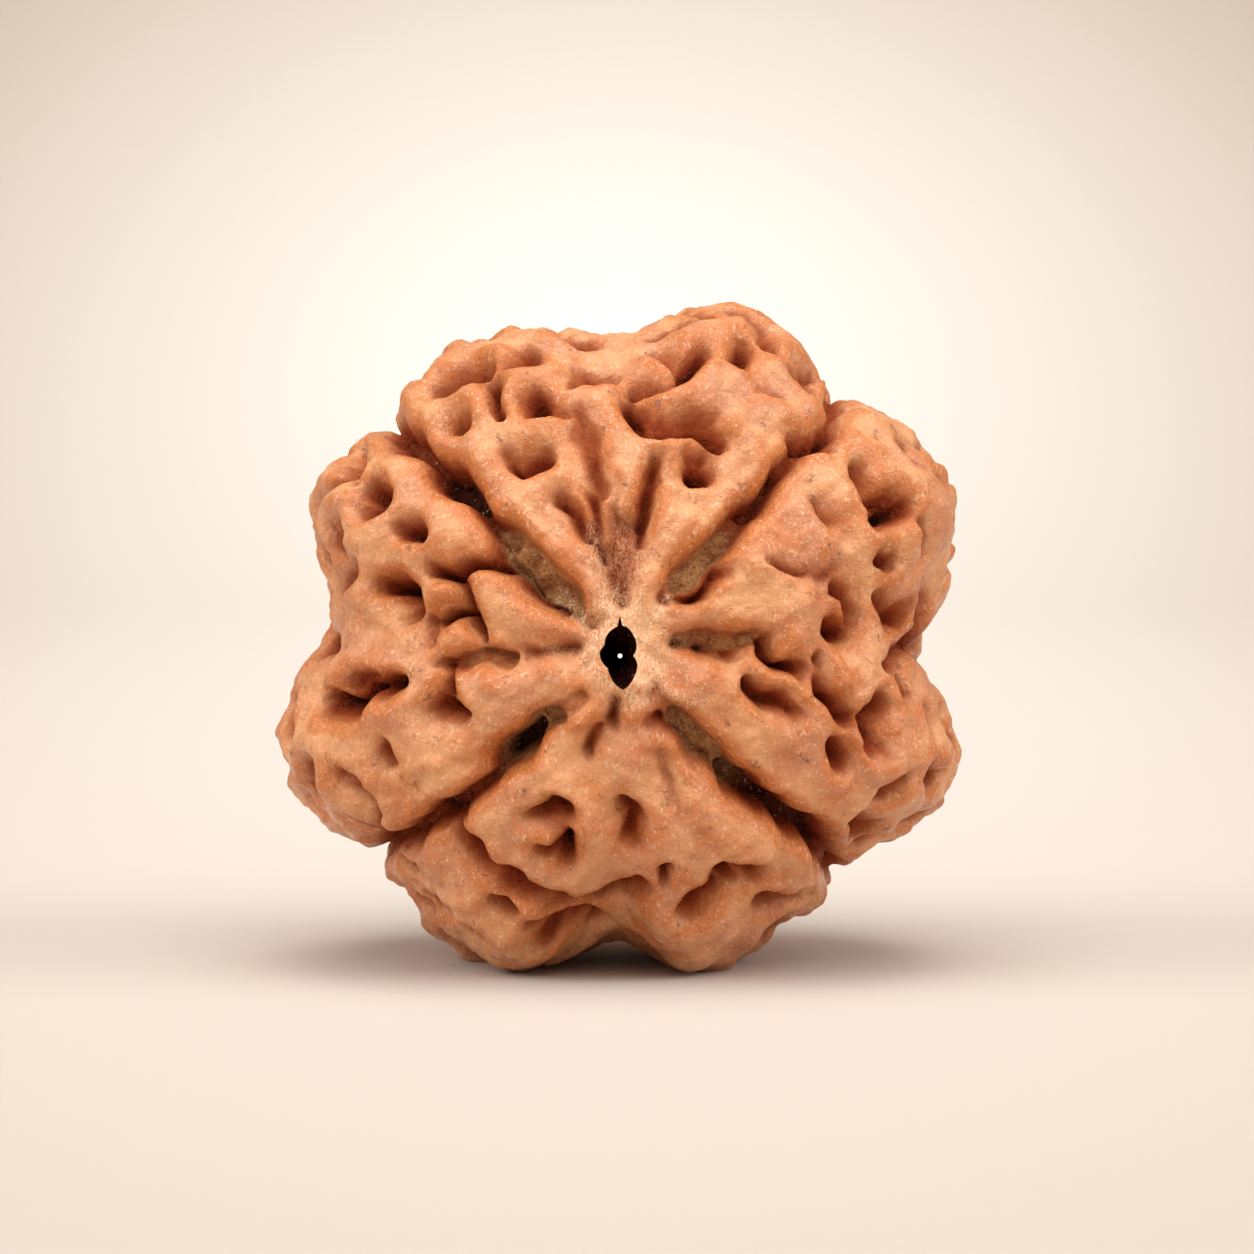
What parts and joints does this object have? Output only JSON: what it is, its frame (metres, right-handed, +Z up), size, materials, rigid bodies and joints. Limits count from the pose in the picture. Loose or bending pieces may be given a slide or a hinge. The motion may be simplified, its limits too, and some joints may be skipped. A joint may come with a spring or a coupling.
{
  "type": "rudraksha bead",
  "caption": "Woody stone of a rudraksha fruit, lobed and deeply pitted, split by mukhi clefts that run from mouth to mouth, with a fine bore for a thread.",
  "frame": {"origin": "centre of the bead's bounding box on the surface it rests on", "axes": "+Y along the thread bore, away from the wide mouth and level but for a lean of 4.5 degrees; +X across the bead; +Z up"},
  "size_m": [0.0228, 0.0191, 0.0219],
  "materials": {
    "stone": "dry orange-brown woody shell with a soft waxy sheen, darker in its pits"
  },
  "bodies": {
    "root": {"bead": "stone"}
  },
  "joints": []
}
